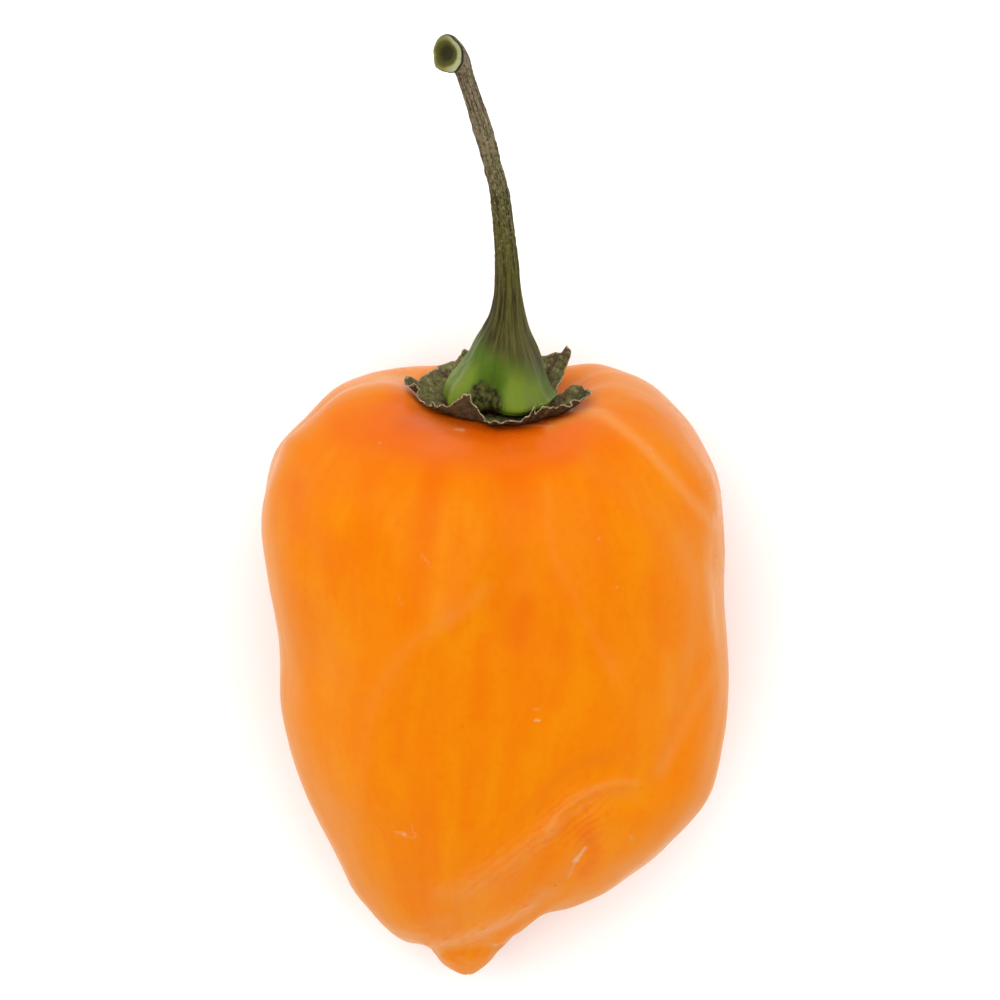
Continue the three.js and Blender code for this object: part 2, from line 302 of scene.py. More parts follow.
class Nodes:
    """Short names for building a node tree."""

    def __init__(self, name):
        self.material, self.tree, self.shader = node_material(name)

    def add(self, kind, inputs=None, **settings):
        node = self.tree.nodes.new(kind)
        for key, value in settings.items():
            setattr(node, key, value)
        for key, value in (inputs or {}).items():
            self.feed(node.inputs[key], value)
        return node

    def feed(self, socket, value):
        if isinstance(value, bpy.types.NodeSocket):
            self.tree.links.new(value, socket)
        elif isinstance(value, tuple) and len(value) == 3 and socket.type == "RGBA":
            socket.default_value = (*value, 1.0)
        else:
            socket.default_value = value

    def attribute(self, name, output="Fac"):
        return self.add("ShaderNodeAttribute", attribute_name=name).outputs[output]

    def place(self):
        return self.add("ShaderNodeTexCoord").outputs["Object"]

    def scaled(self, vector, scale):
        return self.add("ShaderNodeMapping", {"Vector": vector, "Scale": scale}).outputs["Vector"]

    def noise(self, vector, scale, detail=3.0, roughness=0.5):
        inputs = {"Vector": vector, "Scale": scale, "Detail": detail, "Roughness": roughness}
        return self.add("ShaderNodeTexNoise", inputs).outputs["Fac"]

    def remap(self, value, low, high, to_low=0.0, to_high=1.0):
        inputs = {"Value": value, "From Min": low, "From Max": high, "To Min": to_low, "To Max": to_high}
        return self.add("ShaderNodeMapRange", inputs, interpolation_type="SMOOTHSTEP").outputs["Result"]

    def mix(self, factor, a, b):
        """Colour a, or b where the factor is 1. The Mix node's colour sockets are 6 and 7."""
        node = self.add("ShaderNodeMix", data_type="RGBA")
        self.feed(node.inputs["Factor"], factor)
        self.feed(node.inputs[6], a)
        self.feed(node.inputs[7], b)
        return node.outputs[2]

    def math(self, operation, a, b):
        node = self.add("ShaderNodeMath", operation=operation)
        self.feed(node.inputs[0], a)
        self.feed(node.inputs[1], b)
        return node.outputs[0]

    def times(self, a, b):
        return self.math("MULTIPLY", a, b)

    def wander(self, noise, amount):
        """A noise's swing about its middle, as an amount to add to something."""
        return self.times(self.math("SUBTRACT", noise, 0.5), amount)

    def bump(self, height, distance_mm, strength=1.0, under=None):
        inputs = {"Height": height, "Distance": distance_mm * MM, "Strength": strength}
        if under is not None:
            inputs["Normal"] = under
        return self.add("ShaderNodeBump", inputs).outputs["Normal"]

    def finish(self, **sockets):
        for key, value in sockets.items():
            self.feed(self.shader.inputs[key.replace("_", " ")], value)
        return self.material


# ---------------------------------------------------------------- the pod: surface

POD_ROWS = 262
POD_COLUMNS = 340
PROFILE_ROWS = 400
PROFILES = 8
ROW_MM = 0.27
COLUMN_MM = 0.31
SMOOTH_MM = 0.7
TAIL_SMOOTH_MM = 0.22
ABOVE_CALYX = 10.0

# The skin between the front's lobes and the tail is drawn tight, past this angle from the pole.
TAIL_WEB_START = math.radians(146)
TAIL_WEB_SHARE = 0.9

pod_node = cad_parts["pod"]
pod_solid = tree_of(pod_node)
pod_points = np.array([v.co for v in pod_node.data.vertices]) / MM
tip = pod_points[np.argmin(pod_points @ AXIS)]
calyx_low, calyx_high = (np.array(c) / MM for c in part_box("calyx"))
above_seat = (calyx_low + calyx_high) / 2 + ABOVE_CALYX * AXIS


def hit(tree, origin, way):
    """Where a ray from the origin first meets the tree."""
    return np.array(tree.ray_cast(Vector(origin), Vector(way))[0])


seat = hit(pod_solid, above_seat, -AXIS)
pole = unit(seat - tip)
core = tip + 0.5 * (seat - tip)
core_front = unit(FRONT - pole * (FRONT @ pole))
core_right = np.cross(pole, core_front)


def directions(polar, bearing):
    """Unit directions from the core, by the angle from the stem's pole and the bearing round it."""
    side = np.cos(bearing)[..., None] * core_right + np.sin(bearing)[..., None] * core_front
    return np.cos(polar)[..., None] * pole + np.sin(polar)[..., None] * side


def cast_radii(polar):
    """The solid's distance from the core at each polar angle and each column's bearing."""
    bearings = np.linspace(0.0, 2 * np.pi, POD_COLUMNS, endpoint=False)
    grid_polar, grid_bearing = np.meshgrid(polar, bearings, indexing="ij")
    rays = directions(grid_polar, grid_bearing).reshape(-1, 3)
    hits = np.array([hit(pod_solid, core, ray) for ray in rays])
    return np.linalg.norm(hits - core, axis=1).reshape(grid_polar.shape), grid_polar, grid_bearing


def blur(grid, sigma_rows, sigma_columns):
    """Gaussian smoothing of a grid that wraps round its columns and passes over its two poles."""
    reach = int(4 * max(sigma_rows, sigma_columns)) + 1
    offsets = np.arange(-reach, reach + 1)
    over_pole = np.roll(grid[::-1], POD_COLUMNS // 2, axis=1)
    tall = np.concatenate([over_pole[-reach:], grid, over_pole[:reach]])

    def weights(sigma):
        bell = np.exp(-0.5 * (offsets / sigma) ** 2)
        return zip(bell / bell.sum(), offsets)

    rows = sum(w * tall[reach + o : reach + o + len(grid)] for w, o in weights(sigma_rows))
    return sum(w * np.roll(rows, o, axis=1) for w, o in weights(sigma_columns))


def even_polar_angles():
    """Polar angles that space the rows evenly along the skin, taken from some of the pod's profiles."""
    fine = np.linspace(0.0, np.pi, PROFILE_ROWS + 2)[1:-1]
    lengths = np.zeros(PROFILE_ROWS)
    for bearing in np.linspace(0.0, 2 * np.pi, PROFILES, endpoint=False):
        rays = directions(fine, np.full(PROFILE_ROWS, bearing))
        profile = np.array([hit(pod_solid, core, ray) for ray in rays])
        steps = np.linalg.norm(np.diff(profile, axis=0), axis=1)
        lengths[1:] += np.cumsum(steps)
    wanted = np.linspace(lengths[0], lengths[-1], POD_ROWS)
    return np.interp(wanted, lengths, fine)


def drawn_over_tail(grid):
    """The radii with the front's skin drawn tight, like a web, from the lobes to the tail.

    In each column, a straight chord between two points has a 1 / radius that is a sine-weighted mean of
    theirs, so the tight skin at a row is the farthest of the chords that pass over it.
    """
    first = int(np.searchsorted(polar_angles, TAIL_WEB_START))
    angles = polar_angles[first:]
    inverse = 1.0 / grid[first:]
    tight = inverse.copy()
    for i in range(1, len(angles) - 1):
        before = angles[:i][:, None, None]
        after = angles[i + 1 :][None, :, None]
        chords = inverse[:i][:, None] * np.sin(after - angles[i])
        chords = chords + inverse[i + 1 :][None] * np.sin(angles[i] - before)
        tight[i] = np.minimum(tight[i], (chords / np.sin(after - before)).min(axis=(0, 1)))
    facing = np.sin(grid_bearing[first:]) - 0.2 * np.maximum(np.cos(grid_bearing[first:]), 0.0)
    share = TAIL_WEB_SHARE * smoothstep(0.25, 0.8, facing)
    drawn = grid.copy()
    drawn[first:] += share * (1.0 / tight - grid[first:])
    return drawn


def smooth_skin(radii, rays):
    """The skin's points with the solid's facets smoothed away, more gently near the tail."""
    off_tail = smoothstep(3.5, 8.0, np.linalg.norm(core + radii[..., None] * rays - tip, axis=-1))
    broad = blur(radii, SMOOTH_MM / ROW_MM, SMOOTH_MM / COLUMN_MM)
    close = blur(radii, TAIL_SMOOTH_MM / ROW_MM, TAIL_SMOOTH_MM / COLUMN_MM)
    return core + (close + (broad - close) * off_tail)[..., None] * rays


def skin_normals(grid):
    """Outward unit normals of the skin's points."""
    normals = grid_normals(grid)
    return normals * np.sign(np.sum(normals * (grid - core), axis=-1).mean())


polar_angles = even_polar_angles()
radii, grid_polar, grid_bearing = cast_radii(polar_angles)
skin = smooth_skin(drawn_over_tail(radii), directions(grid_polar, grid_bearing))


# ---------------------------------------------------------------- the pod: folds and creases

# Where the front's folds lie: x to the right of the pod's middle, and y up from its tip, as seen from
# above, with the depth and the half width. A ridge has a negative depth.
CREASES = [
    ([(-4.4, 1.8), (-1.8, 2.3), (0.55, 3.3), (2.8, 4.3)], 0.12, 0.4),  # tail crease
    ([(-4.2, 2.4), (-1.8, 3.1), (0.6, 4.2), (2.4, 5.1)], -0.14, 0.6),  # tail lip
    ([(-2.4, 4.9), (0.4, 5.9), (2.6, 7.4), (3.9, 9.2)], 0.16, 1.0),  # terrace
    ([(-2.6, 6.4), (0.6, 8.2), (2.9, 9.9), (3.9, 11.0)], -0.16, 0.9),  # lobe edge
    ([(3.7, 10.6), (5.2, 12.4), (6.7, 13.5), (8.2, 14.1), (9.8, 14.0)], -0.2, 0.6),  # arc rim
    ([(3.0, 11.6), (4.4, 13.4), (6.2, 14.8), (8.2, 15.6)], 0.14, 0.9),  # arc outer valley
    ([(4.8, 10.2), (6.1, 11.6), (7.6, 12.5), (9.2, 12.7)], 0.16, 0.8),  # arc inner valley
    ([(6.7, 9.2), (6.0, 8.2), (5.5, 6.9)], 0.12, 0.3),  # crack
    ([(7.4, 9.6), (6.5, 8.2), (6.2, 6.6)], 0.14, 1.4),  # crack bed
    ([(14.2, 19.6), (13.2, 17.0), (12.4, 14.6)], 0.16, 0.9),  # right fold
    ([(13.2, 20.2), (12.1, 17.4), (11.3, 15.0)], -0.1, 0.9),  # right fold lip
    # shoulder groove
    ([(5.2, 40.2), (7.6, 41.0), (9.9, 39.4), (12.8, 36.6), (14.8, 34.4), (16.4, 32.8)], 0.12, 1.4),
    ([(-3.7, 36.0), (-0.8, 31.0), (-5.6, 25.5), (-8.2, 21.5), (-9.8, 15.0)], -0.14, 1.3),  # front rib
    ([(5.0, 36.0), (3.9, 32.0), (6.2, 27.2), (8.7, 21.6)], -0.12, 1.2),  # right rib
    ([(-1.2, 24.6), (-1.6, 19.4), (-2.4, 12.6)], 0.1, 1.0),  # middle dent
    ([(-4.2, 17.0), (-3.6, 18.0), (-2.6, 18.4)], -0.05, 0.22),  # small arc
    ([(-14.6, 37.5), (-14.4, 34.0), (-14.0, 30.5)], 0.14, 1.2),  # side dent
    ([(-13.4, 41.8), (-11.8, 43.2), (-9.4, 44.2), (-6.4, 44.4)], 0.16, 0.6),  # shoulder step
]


def distance_to_line(x, y, line, samples=60):
    """How far each point is from a smooth line."""
    nearest = np.full(x.shape, np.inf)
    for line_x, line_y in spline(line, samples):
        nearest = np.minimum(nearest, (x - line_x) ** 2 + (y - line_y) ** 2)
    return np.sqrt(nearest)


# Where the outline seen from above swells or draws in: x, y, how far it moves, and how far it reaches.
SWELLS = [
    (-13.5, 41.8, -0.35, 2.0),
    (-14.9, 40.4, -0.40, 2.2),
    (-17.2, 31.0, -0.15, 4.0),
    (-15.9, 23.2, -0.15, 4.0),
    (-12.4, 8.6, -0.35, 3.2),
    (-9.4, 4.0, -0.40, 2.2),
    (-2.2, 0.3, 0.42, 1.8),
    (1.3, 2.2, 0.18, 1.4),
    (3.6, 4.9, -0.50, 1.3),
    (7.8, 6.0, 0.20, 2.0),
    (11.5, 8.3, 0.26, 2.4),
    (15.6, 12.8, 0.28, 3.0),
    (16.8, 30.5, 0.12, 4.0),
    (7.8, 44.8, 0.50, 2.4),
    (11.0, 43.4, 0.32, 2.2),
    (15.9, 38.6, -0.20, 1.8),
]

# The left shoulder stands full, high up on the skin.
SHOULDER_LINE = [(-14.7, 39.3), (-13.2, 41.0), (-11.4, 42.4), (-9.4, 43.3), (-7.2, 43.8)]
SHOULDER_FILL = 0.95
SHOULDER_REACH = 1.6

# Folds of the hidden side, as lines through (bearing, height), where bearing 270 is the back.
HIDDEN_CREASES = [
    ([(196, 30), (204, 24), (202, 17)], 0.3, 1.1),
    ([(222, 12), (238, 8), (256, 6)], 0.4, 0.9),
    ([(330, 13), (318, 9), (300, 7)], 0.35, 0.8),
    ([(352, 33), (344, 26), (346, 18)], 0.28, 1.0),
    ([(262, 38), (266, 31), (262, 24)], 0.3, 1.2),
    ([(300, 36), (306, 28)], -0.2, 1.3),
    ([(232, 35), (228, 27)], -0.18, 1.4),
]
MEAN_RADIUS = 15.0

relief = Noise(SEED)


def front_relief(x, y, height, facing_up):
    """How far the swells, the folds and the full shoulder move the skin that is seen from above."""
    field = np.zeros(x.shape)
    for swell_x, swell_y, amount, reach in SWELLS:
        field += amount * falloff(np.hypot(x - swell_x, y - swell_y), reach)
    for line, depth, half_width in CREASES:
        field -= depth * falloff(distance_to_line(x, y, line), half_width) * facing_up
    shoulder = falloff(distance_to_line(x, y, SHOULDER_LINE), SHOULDER_REACH)
    return field + SHOULDER_FILL * shoulder * smoothstep(14.0, 19.0, height)


def hidden_relief(rise, facing_up):
    """How far the hidden side's folds move the skin."""
    field = np.zeros(rise.shape)
    for line, depth, half_width in HIDDEN_CREASES:
        on_skin = [(math.radians(bearing) * MEAN_RADIUS, height) for bearing, height in line]
        away = distance_to_line(grid_bearing * MEAN_RADIUS, rise, on_skin)
        field -= depth * falloff(away, half_width) * (1.0 - facing_up)
    return field


def round_the_pod(radius, rise):
    """A space for noise that runs round the pod without a seam. A bigger radius gives narrower marks."""
    return np.stack([np.cos(grid_bearing) * radius, np.sin(grid_bearing) * radius, rise], axis=-1)


def unevenness(skin, rise, from_tip, from_seat):
    """Swellings, ribs and fine waves all round, and wrinkles at the tail and under the collar."""
    field = 0.16 * relief(skin, 7.0) + 0.06 * relief(skin + 40.0, 3.0)
    field += 0.07 * relief(round_the_pod(9, rise * 0.12) + 80.0, 1.3) * smoothstep(0.0, 8.0, rise)
    field += 0.012 * relief(skin + 120.0, 1.1)
    around_tail = smoothstep(1.5, 3.5, from_tip) * (1.0 - smoothstep(5.0, 9.0, from_tip))
    field += 0.1 * relief(round_the_pod(3, from_tip * 0.9) + 160.0, 0.8) * around_tail
    around_seat = smoothstep(4.5, 6.0, from_seat) * (1.0 - smoothstep(8.0, 12.0, from_seat))
    field += 0.05 * relief(round_the_pod(5, from_seat * 0.15) + 200.0, 0.9) * around_seat
    return field


pod_middle_x = (pod_points[:, 0].min() + pod_points[:, 0].max()) / 2
pod_low_y = pod_points[:, 1].min()
flat_x = skin[..., 0] - pod_middle_x
flat_y = skin[..., 1] - pod_low_y
rise = (skin - tip) @ AXIS
from_tip = np.linalg.norm(skin - tip, axis=-1)
from_seat = np.linalg.norm(skin - seat, axis=-1)
facing_up = smoothstep(-0.05, 0.35, skin_normals(skin)[..., 2])

field = front_relief(flat_x, flat_y, skin[..., 2], facing_up)
field += hidden_relief(rise, facing_up)
field += unevenness(skin, rise, from_tip, from_seat)
skin = skin + field[..., None] * skin_normals(skin)
skin[..., 2] = np.maximum(skin[..., 2], 0.0)


# ---------------------------------------------------------------- the pod: marks, painted sheen and painted shade on the skin

# Each mark is a line seen from above, as for the folds, with its half width and its amount.
# The pale bands are painted sheen: highlights along the ridges, rims and slopes of the folds.
SHEEN_BANDS = [
    ([(-12.4, 42.8), (-10.4, 43.9), (-8.0, 44.4), (-5.0, 44.6)], 0.9, 0.5),
    ([(-8.4, 43.8), (-6.8, 42.6), (-4.8, 41.0), (-2.4, 40.0)], 0.5, 0.4),
    ([(4.0, 40.3), (7.1, 41.5), (9.7, 40.1), (12.6, 37.3), (14.5, 35.0), (16.2, 33.0)], 0.45, 0.7),
    ([(7.4, 41.5), (10.2, 40.0), (13.0, 37.1), (15.2, 34.2)], 1.3, 0.16),
    ([(-4.0, 6.1), (-1.3, 7.1), (2.9, 9.8), (4.2, 11.0)], 0.9, 0.4),
    ([(-4.4, 2.1), (-1.8, 2.9), (0.6, 4.1), (2.6, 5.0)], 0.65, 0.6),
    ([(4.0, 10.8), (5.2, 12.4), (6.7, 13.5), (8.8, 14.3), (10.4, 14.2)], 0.3, 0.5),
    ([(7.0, 13.2), (9.0, 13.4), (10.6, 13.0)], 0.7, 0.2),
    ([(12.6, 23.6), (12.9, 19.6)], 0.5, 0.3),
    ([(16.3, 22.8), (15.4, 20.9), (13.5, 17.2), (12.2, 15.0)], 0.6, 0.45),
    ([(-0.8, 28.3), (-3.6, 26.0), (-6.3, 24.2), (-8.7, 20.5), (-9.8, 15.4), (-10.2, 11.7)], 0.8, 0.28),
    ([(3.8, 36.2), (4.2, 31.6), (5.7, 28.3), (7.5, 24.6), (8.9, 22.3)], 0.5, 0.22),
    ([(-14.8, 21.6), (-14.2, 17.0), (-12.4, 12.6), (-10.6, 8.6)], 0.9, 0.35),
    ([(-4.5, 33.5), (-2.5, 30.0), (-3.6, 27.0)], 1.2, 0.12),
    ([(-4.0, 27.6), (-3.9, 26.4)], 1.1, 0.14),
    ([(8.9, 23.4), (8.9, 21.6)], 1.2, 0.12),
]
# The deep bands are deeper orange, partly the skin's own tone and partly painted shade in the valleys and
# under the collar.
DEEP_AND_SHADE_BANDS = [
    ([(-6.6, 40.6), (-3.0, 40.0), (1.0, 39.2), (4.4, 39.2)], 1.6, 0.8),
    ([(-11.0, 39.8), (-6.6, 40.0)], 1.3, 0.3),
    ([(1.3, 38.0), (1.5, 34.0), (1.8, 30.0)], 1.3, 0.3),
    ([(7.4, 36.0), (7.9, 31.0), (9.2, 26.4)], 0.9, 0.26),
    ([(-14.8, 35.9), (-14.6, 32.6)], 1.0, 0.3),
    ([(-4.4, 38.0), (-5.2, 31.6), (-6.3, 26.4)], 1.3, 0.38),
    ([(-9.4, 36.6), (-10.4, 29.6), (-10.0, 25.0)], 1.1, 0.22),
    ([(-13.2, 28.0), (-12.8, 25.6)], 0.9, 0.25),
    ([(-1.0, 24.8), (-1.2, 19.0)], 0.8, 0.35),
    ([(-6.4, 20.8), (-7.2, 15.8)], 0.8, 0.3),
    ([(-1.4, 16.0), (-2.2, 11.4)], 1.0, 0.25),
    ([(4.9, 24.6), (4.9, 22.4), (4.4, 20.4)], 1.2, 0.42),
    ([(2.2, 27.4), (1.6, 25.0)], 1.1, 0.3),
    ([(2.0, 26.8), (1.4, 22.0), (2.2, 17.6)], 1.9, 0.3),
    ([(2.8, 12.6), (4.4, 14.4), (6.4, 15.6), (8.0, 15.8)], 0.8, 0.22),
    ([(5.2, 10.8), (7.6, 11.6), (9.0, 11.6), (11.6, 11.4)], 1.3, 0.28),
    ([(6.9, 10.2), (7.3, 8.6), (6.6, 7.4)], 0.9, 0.5),
    ([(11.6, 29.0), (12.4, 24.8)], 0.8, 0.3),
]
SCARS = [
    ([(6.75, 9.25), (6.4, 8.8), (6.0, 8.3)], 0.18, 0.8),
    ([(6.0, 8.3), (5.75, 7.5), (5.45, 6.8)], 0.16, 0.6),
    ([(2.7, 19.75), (3.35, 19.5)], 0.13, 0.55),
    ([(2.95, 18.85), (3.35, 18.75)], 0.17, 0.75),
    ([(-7.3, 10.5), (-6.7, 10.4)], 0.2, 0.5),
    ([(-6.2, 11.1), (-6.1, 10.7), (-5.8, 10.3)], 0.15, 0.5),
    ([(-6.6, 10.2), (-5.9, 10.0)], 0.2, 0.45),
    ([(-5.4, 31.0), (-4.9, 30.4), (-4.7, 30.0)], 0.18, 0.5),
    ([(-7.2, 28.0), (-6.7, 27.2)], 0.18, 0.45),
    ([(1.6, 40.45), (3.0, 40.4), (4.2, 40.4)], 0.12, 0.5),
    ([(-2.9, 40.2), (-2.3, 40.1)], 0.14, 0.6),
    ([(-8.5, 39.3), (-8.45, 39.2)], 0.14, 0.7),
    ([(11.5, 38.8), (11.55, 38.7)], 0.14, 0.7),
    ([(7.6, 32.2), (7.6, 32.1)], 0.18, 0.7),
    ([(9.05, 28.6), (9.1, 28.5)], 0.17, 0.6),
    ([(10.0, 10.2), (10.1, 10.0)], 0.24, 0.55),
    ([(16.1, 34.0), (16.2, 32.9)], 0.16, 0.5),
]

# Where the material draws fine parallel wrinkles.
WRINKLES = [
    ([(-1.6, 6.6), (1.0, 8.4), (3.4, 10.2), (5.2, 12.0), (6.6, 12.4)], 1.1, 1.0),
    ([(6.4, 10.4), (7.6, 12.6), (6.8, 9.0)], 1.5, 0.5),
    ([(-4.0, 2.3), (-1.8, 2.9), (0.6, 4.1), (2.4, 5.0)], 0.8, 1.0),
]
SOFT_EDGE = 2.0
CRISP_EDGE = 4.0


def painted(marks, edge=SOFT_EDGE):
    """How strongly the marks cover each point of the skin that faces up."""
    layer = np.zeros(skin.shape[:2])
    for line, half_width, amount in marks:
        away = distance_to_line(flat_x, flat_y, line)
        layer += amount * np.exp(-((away / half_width) ** edge)) * facing_up
    return layer


def deepened_and_shaded():
    """The deeper orange: its own bands, partly painted shade; painted shade round the seat; a little over
    the upper part.
    """
    in_front = 1.0 - smoothstep(40.5, 43.0, flat_y)
    shade_round_seat = 0.5 * (1.0 - smoothstep(7.0, 15.5, from_seat)) * in_front
    shade_under_collar = 0.9 * (1.0 - smoothstep(5.8, 8.4, from_seat)) * (0.3 + 0.7 * in_front)
    return painted(DEEP_AND_SHADE_BANDS) + shade_round_seat + shade_under_collar + 0.25 * smoothstep(29.0, 39.0, flat_y)


def flank_sheen():
    """Where the skin slants, on the flanks, painted yellower than the front and the back as a painted
    sheen.
    """
    level = np.abs(skin_normals(skin)[..., 2])
    return (1.0 - smoothstep(0.0, 0.75, level)) * smoothstep(6.0, 10.0, from_seat)


def with_poles(grid, first, last):
    """The grid's values in the order of its vertices, between those of its two poles."""
    values = grid.reshape(POD_ROWS * POD_COLUMNS, -1)
    joined = np.concatenate([[np.atleast_1d(first)], values, [np.atleast_1d(last)]])
    return joined if joined.shape[1] > 1 else joined[:, 0]


# ---------------------------------------------------------------- the pod: material

ORANGE = (0.635, 0.164, 0.0012)
YELLOW_ORANGE = (0.645, 0.192, 0.0014)
DEEP_ORANGE = (0.60, 0.104, 0.0009)
SHADED_ORANGE = (0.50, 0.072, 0.0008)
FLANK_SHEEN_ORANGE = (0.570, 0.198, 0.0025)
SHEEN_ORANGE = (0.63, 0.240, 0.056)
SCAR_COLOUR = (0.56, 0.34, 0.20)
SPECK_COLOUR = (0.28, 0.085, 0.01)
WRINKLE_TURN = math.radians(38)


def pod_skin_material():
    n = Nodes("habanero_skin")
    grain = n.attribute("grain", "Vector")
    place = n.place()
    streaks = n.noise(n.scaled(grain, (5.0, 5.0, 2.0)), 1.0, 3.0, 0.5)
    clouds = n.noise(place, 120.0, 2.0)
    fine = n.noise(n.scaled(grain, (30.0, 30.0, 12.0)), 1.0, 3.0, 0.6)
    colour = n.mix(n.remap(streaks, 0.4, 0.68), ORANGE, YELLOW_ORANGE)
    colour = n.mix(n.remap(clouds, 0.5, 0.8, 0.0, 0.35), colour, DEEP_ORANGE)
    colour = n.mix(n.remap(fine, 0.5, 0.72, 0.0, 0.12), colour, DEEP_ORANGE)
    colour = n.mix(n.remap(fine, 0.48, 0.3, 0.0, 0.15), colour, YELLOW_ORANGE)
    grit = n.noise(place, 1500.0, 3.0, 0.6)
    colour = n.mix(n.remap(grit, 0.5, 0.7, 0.0, 0.16), colour, DEEP_ORANGE)
    bands = n.noise(n.scaled(grain, (2.6, 2.6, 0.9)), 1.0, 2.0, 0.5)
    colour = n.mix(n.remap(bands, 0.52, 0.7, 0.0, 0.3), colour, DEEP_ORANGE)
    # Painted sheen: the slanting flanks turn yellower.
    colour = n.mix(n.times(n.attribute("flank"), 0.85), colour, FLANK_SHEEN_ORANGE)
    deep_and_shade = n.attribute("deep_and_shade")
    # Painted shade: deeper orange in the deep bands and round the seat, shaded orange where it is deepest.
    colour = n.mix(n.remap(deep_and_shade, 0.0, 0.95, 0.0, 0.95), colour, DEEP_ORANGE)
    colour = n.mix(n.remap(deep_and_shade, 1.1, 2.4), colour, SHADED_ORANGE)
    # Painted sheen: paler along the pale bands.
    colour = n.mix(n.remap(n.attribute("pale"), 0.0, 1.3, 0.0, 0.9), colour, SHEEN_ORANGE)
    specks = n.add("ShaderNodeTexVoronoi", {"Vector": place, "Scale": 420.0}).outputs["Distance"]
    rare = n.remap(n.noise(place, 260.0, 0.0), 0.68, 0.72)
    dots = n.times(n.remap(specks, 0.1, 0.05), rare)
    colour = n.mix(n.times(dots, 0.4), colour, SPECK_COLOUR)
    scars = n.remap(n.attribute("scar"), 0.25, 0.9)
    colour = n.mix(n.times(scars, 0.75), colour, SCAR_COLOUR)
    turned = n.add("ShaderNodeMapping", {"Vector": place, "Rotation": (0.0, 0.0, -WRINKLE_TURN)})
    lines = n.add(
        "ShaderNodeTexWave",
        {"Vector": turned.outputs["Vector"], "Scale": 560.0, "Distortion": 7.0, "Detail": 3.0},
        bands_direction="Y",
    ).outputs["Fac"]
    wrinkled = n.attribute("wrinkled")
    wrinkles = n.times(lines, wrinkled)
    mottles = n.remap(n.noise(place, 1100.0, 3.0, 0.7), 0.5, 0.7, 0.0, 0.5)
    colour = n.mix(n.times(mottles, wrinkled), colour, DEEP_ORANGE)
    # Painted highlights: pale lines along the wrinkles.
    colour = n.mix(n.times(wrinkles, 0.22), colour, SHEEN_ORANGE)
    rough = n.remap(n.noise(place, 90.0, 3.0), 0.3, 0.7, 0.26, 0.34)
    rough = n.math("ADD", rough, n.times(scars, 0.3))
    pores = n.noise(place, 2600.0, 2.0)
    waves = n.noise(n.scaled(grain, (26.0, 26.0, 6.0)), 1.0, 2.0)
    bump = n.bump(waves, 0.04, 0.4)
    bump = n.bump(wrinkles, 0.05, 0.5, bump)
    bump = n.bump(pores, 0.01, 0.5, bump)
    return n.finish(
        Base_Color=colour,
        Roughness=rough,
        Normal=bump,
        IOR=1.33,
        Subsurface_Weight=0.1,
        Subsurface_Scale=0.002,
        Subsurface_Radius=(1.0, 0.3, 0.08),
        Specular_IOR_Level=0.1,
    )


streak_space = round_the_pod(1, rise * 0.055)
pod = new_piece(
    "pod_skin",
    with_poles(skin, skin[0].mean(0), skin[-1].mean(0)),
    grid_faces(POD_ROWS, POD_COLUMNS),
    pod_skin_material(),
    {
        "pale": with_poles(painted(SHEEN_BANDS), 0.0, 0.0),
        "deep_and_shade": with_poles(deepened_and_shaded(), 1.0, 0.0),
        "scar": with_poles(painted(SCARS, CRISP_EDGE), 0.0, 0.0),
        "wrinkled": with_poles(painted(WRINKLES), 0.0, 0.0),
        "flank": with_poles(flank_sheen(), 0.0, 0.0),
        "grain": with_poles(streak_space, streak_space[0].mean(0), streak_space[-1].mean(0)),
    },
)
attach(pod, "root")
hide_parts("pod")


# ---------------------------------------------------------------- the stem's and collar's frame

# Their points are given from the seat's middle: x to the right, f to the front and h along the axis.
STEM_CENTRE_X = 0.37
WELL_ABOVE = 30.0

skin_tree = tree_of(pod)


def to_world(points):
    """Points given as (x, f, h) from the seat, in the table's frame."""
    p = np.asarray(points, float)
    return seat + p[..., :1] * RIGHT + p[..., 1:2] * FRONT + p[..., 2:3] * AXIS


def skin_height(x, f):
    """How high the pod's skin stands over the seat at a point round the stem."""
    return (hit(skin_tree, to_world((x, f, WELL_ABOVE)), -AXIS) - seat) @ AXIS


# ---------------------------------------------------------------- the calyx

